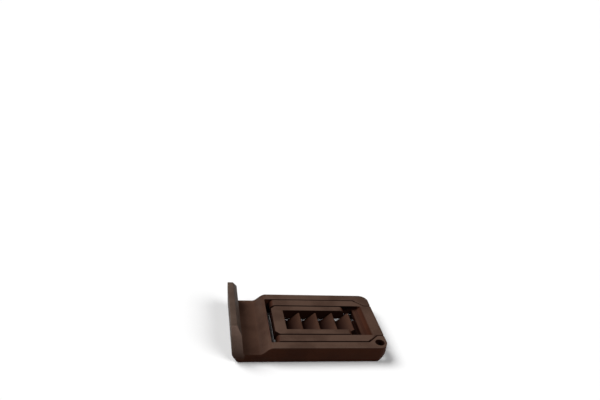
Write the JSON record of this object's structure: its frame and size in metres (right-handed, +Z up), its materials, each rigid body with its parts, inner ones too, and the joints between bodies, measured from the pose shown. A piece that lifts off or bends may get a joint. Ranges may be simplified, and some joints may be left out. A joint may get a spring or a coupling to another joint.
{
  "type": "folding phone holder",
  "caption": "Pocket phone holder that folds flat: a base with a lip and a toothed tongue, a hinged backrest and a hinged prop whose foot drops between the teeth.",
  "frame": {"origin": "middle of the underside, on the table", "axes": "+X from the lip to the tail along the length, +Y across the holder away from the key hole, +Z up"},
  "size_m": [0.062, 0.036, 0.0147],
  "materials": {
    "brown_plastic": "satin, dark brown, as printed"
  },
  "bodies": {
    "base": {"base": "brown_plastic"},
    "backrest": {"backrest": "brown_plastic"},
    "prop": {"prop": "brown_plastic"}
  },
  "joints": [
    {"name": "backrest_hinge", "type": "hinge", "parent": "base", "child": "backrest", "pos_m": [-0.0108, 0, 0.0049], "axis": [0, -1, 0], "range_deg": [0, 115]},
    {"name": "prop_hinge", "type": "hinge", "parent": "backrest", "child": "prop", "pos_m": [0.0165, 0, 0.0049], "axis": [0, -1, 0], "range_deg": [0, 130]}
  ]
}
